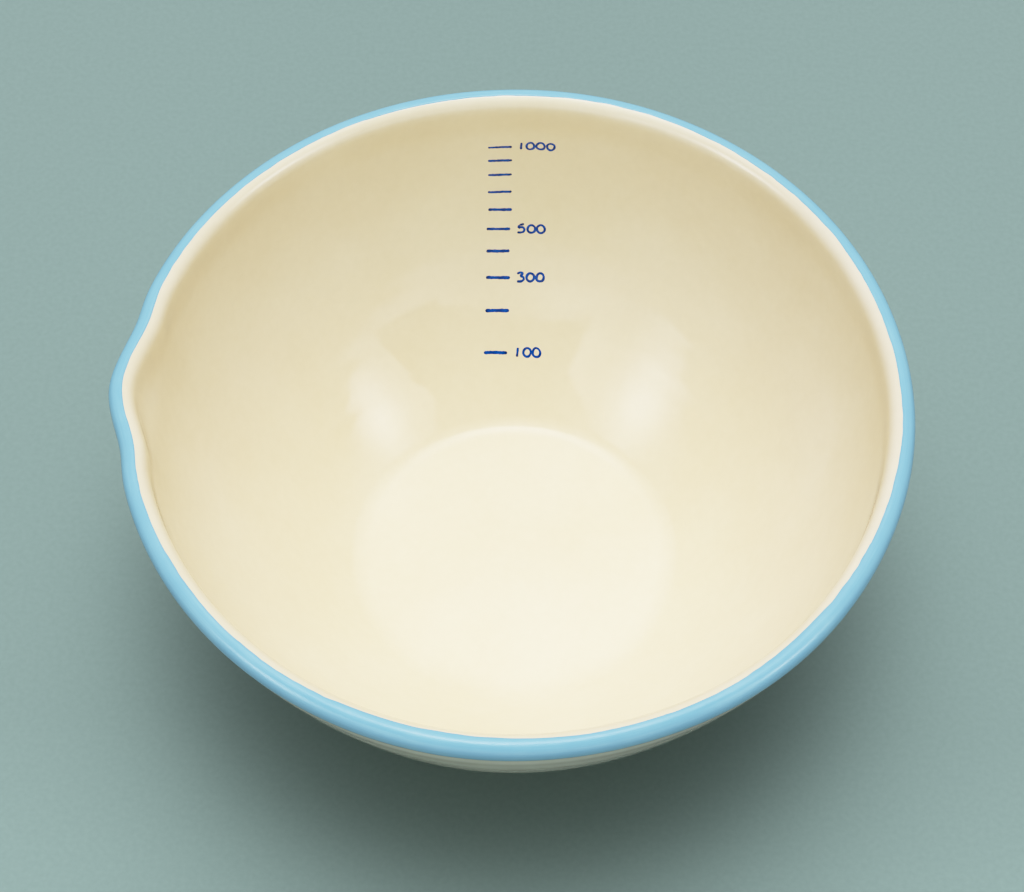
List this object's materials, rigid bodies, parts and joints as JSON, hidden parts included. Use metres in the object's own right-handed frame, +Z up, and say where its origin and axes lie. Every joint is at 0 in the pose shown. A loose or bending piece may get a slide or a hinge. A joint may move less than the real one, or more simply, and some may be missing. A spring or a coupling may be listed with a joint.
{
  "type": "evaporating dish",
  "caption": "Wide round glazed ceramic evaporating dish with a rolled blue rim, a small pour lip, a foot ring and a volume scale in millilitres inside.",
  "frame": {"origin": "centre of the foot ring's resting face", "axes": "+Z up along the bowl's axis, -X towards the pour lip, the volume scale on the wall towards +Y"},
  "size_m": [0.1954, 0.193, 0.0853],
  "materials": {
    "cream_glaze": "glossy cream glaze over pale stoneware, bare clay on the foot ring",
    "blue_glaze": "glossy pale blue glaze, hand painted",
    "cobalt_ink": "fired cobalt blue decoration under a thin clear glaze"
  },
  "bodies": {
    "root": {"dish_body": "cream_glaze", "rim_glaze_band": "blue_glaze", "graduation_line_1000": "cobalt_ink", "graduation_line_900": "cobalt_ink", "graduation_line_800": "cobalt_ink", "graduation_line_700": "cobalt_ink", "graduation_line_600": "cobalt_ink", "graduation_line_500": "cobalt_ink", "graduation_line_400": "cobalt_ink", "graduation_line_300": "cobalt_ink", "graduation_line_200": "cobalt_ink", "graduation_line_100": "cobalt_ink", "numeral_1000": "cobalt_ink", "numeral_500": "cobalt_ink", "numeral_300": "cobalt_ink", "numeral_100": "cobalt_ink"}
  },
  "joints": []
}
